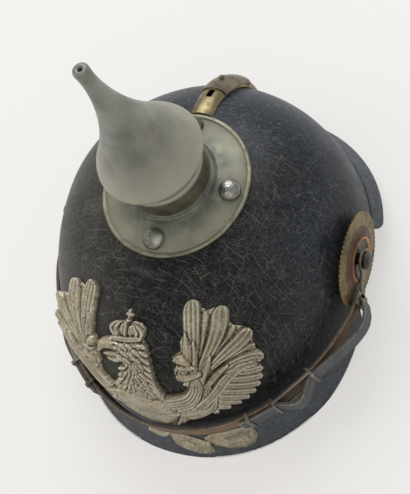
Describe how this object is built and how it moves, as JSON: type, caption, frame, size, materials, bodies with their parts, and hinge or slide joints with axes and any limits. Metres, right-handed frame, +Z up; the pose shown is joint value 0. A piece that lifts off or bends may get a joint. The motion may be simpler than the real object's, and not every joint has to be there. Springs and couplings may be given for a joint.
{
  "type": "spiked parade helmet",
  "caption": "Boxy leather spiked helmet with removable spike, front plate, side cockade, chinstrap on posts, ventilated rear spine and tongued lining.",
  "frame": {"origin": "middle of the helmet's width and length, on the surface that both visors rest on", "axes": "front is -Y, the wearer's left is +X, up is +Z"},
  "size_m": [0.2111, 0.231, 0.2418],
  "materials": {
    "skull_leather": "satin, crazed",
    "visor_leather": "grained, dull",
    "grey_steel": "dull grey-green, pitted",
    "stud_steel": "pitted bright steel",
    "spine_brass": "worn",
    "slide_bronze": "worn, greyed",
    "plate_metal": "pewter grey, tarnished",
    "wedge_leather": "raw",
    "lug_metal": "tarnished",
    "cockade_brass": "tarnished",
    "strap_leather": "worn",
    "buckle_metal": "worn",
    "liner_leather": "worn",
    "cord_cotton": "matte"
  },
  "bodies": {
    "helmet": {"skull": "skull_leather", "front_visor": "visor_leather", "rear_visor": "visor_leather", "spike_base": "grey_steel", "base_studs": "stud_steel", "stud_washers": "stud_steel", "rear_spine": "spine_brass", "spine_screws": "stud_steel", "front_plate": "plate_metal", "plate_loops": "plate_metal", "plate_wedges": "wedge_leather", "post_left": "lug_metal", "post_right": "lug_metal", "post_nuts": "stud_steel", "liner_band": "liner_leather", "liner_tongues": "liner_leather", "liner_cord": "cord_cotton"},
    "spike": {"spike": "grey_steel"},
    "slide": {"vent_slide": "slide_bronze"},
    "cockade": {"cockade": "cockade_brass"},
    "strap": {"lug_left": "lug_metal", "lug_right": "lug_metal", "chinstrap": "strap_leather", "buckle_left": "buckle_metal", "buckle_right": "buckle_metal", "strap_keepers": "buckle_metal"}
  },
  "joints": [
    {"name": "spike_turn", "type": "hinge", "parent": "helmet", "child": "spike", "pos_m": [-0.0019, 0.0135, 0.123], "axis": [0, 0, 1], "range_deg": [0, 35]},
    {"name": "vent_slide", "type": "hinge", "parent": "helmet", "child": "slide", "pos_m": [-0.0019, 0.0555, 0.063], "axis": [1, 0, 0], "range_deg": [0, 10]},
    {"name": "cockade_turn", "type": "hinge", "parent": "helmet", "child": "cockade", "pos_m": [0.0941, 0.0085, 0.053], "axis": [1, 0, 0], "continuous": true},
    {"name": "strap_swing", "type": "hinge", "parent": "helmet", "child": "strap", "pos_m": [-0.0019, 0.0085, 0.053], "axis": [-1, 0, 0], "range_deg": [0, 45]}
  ]
}
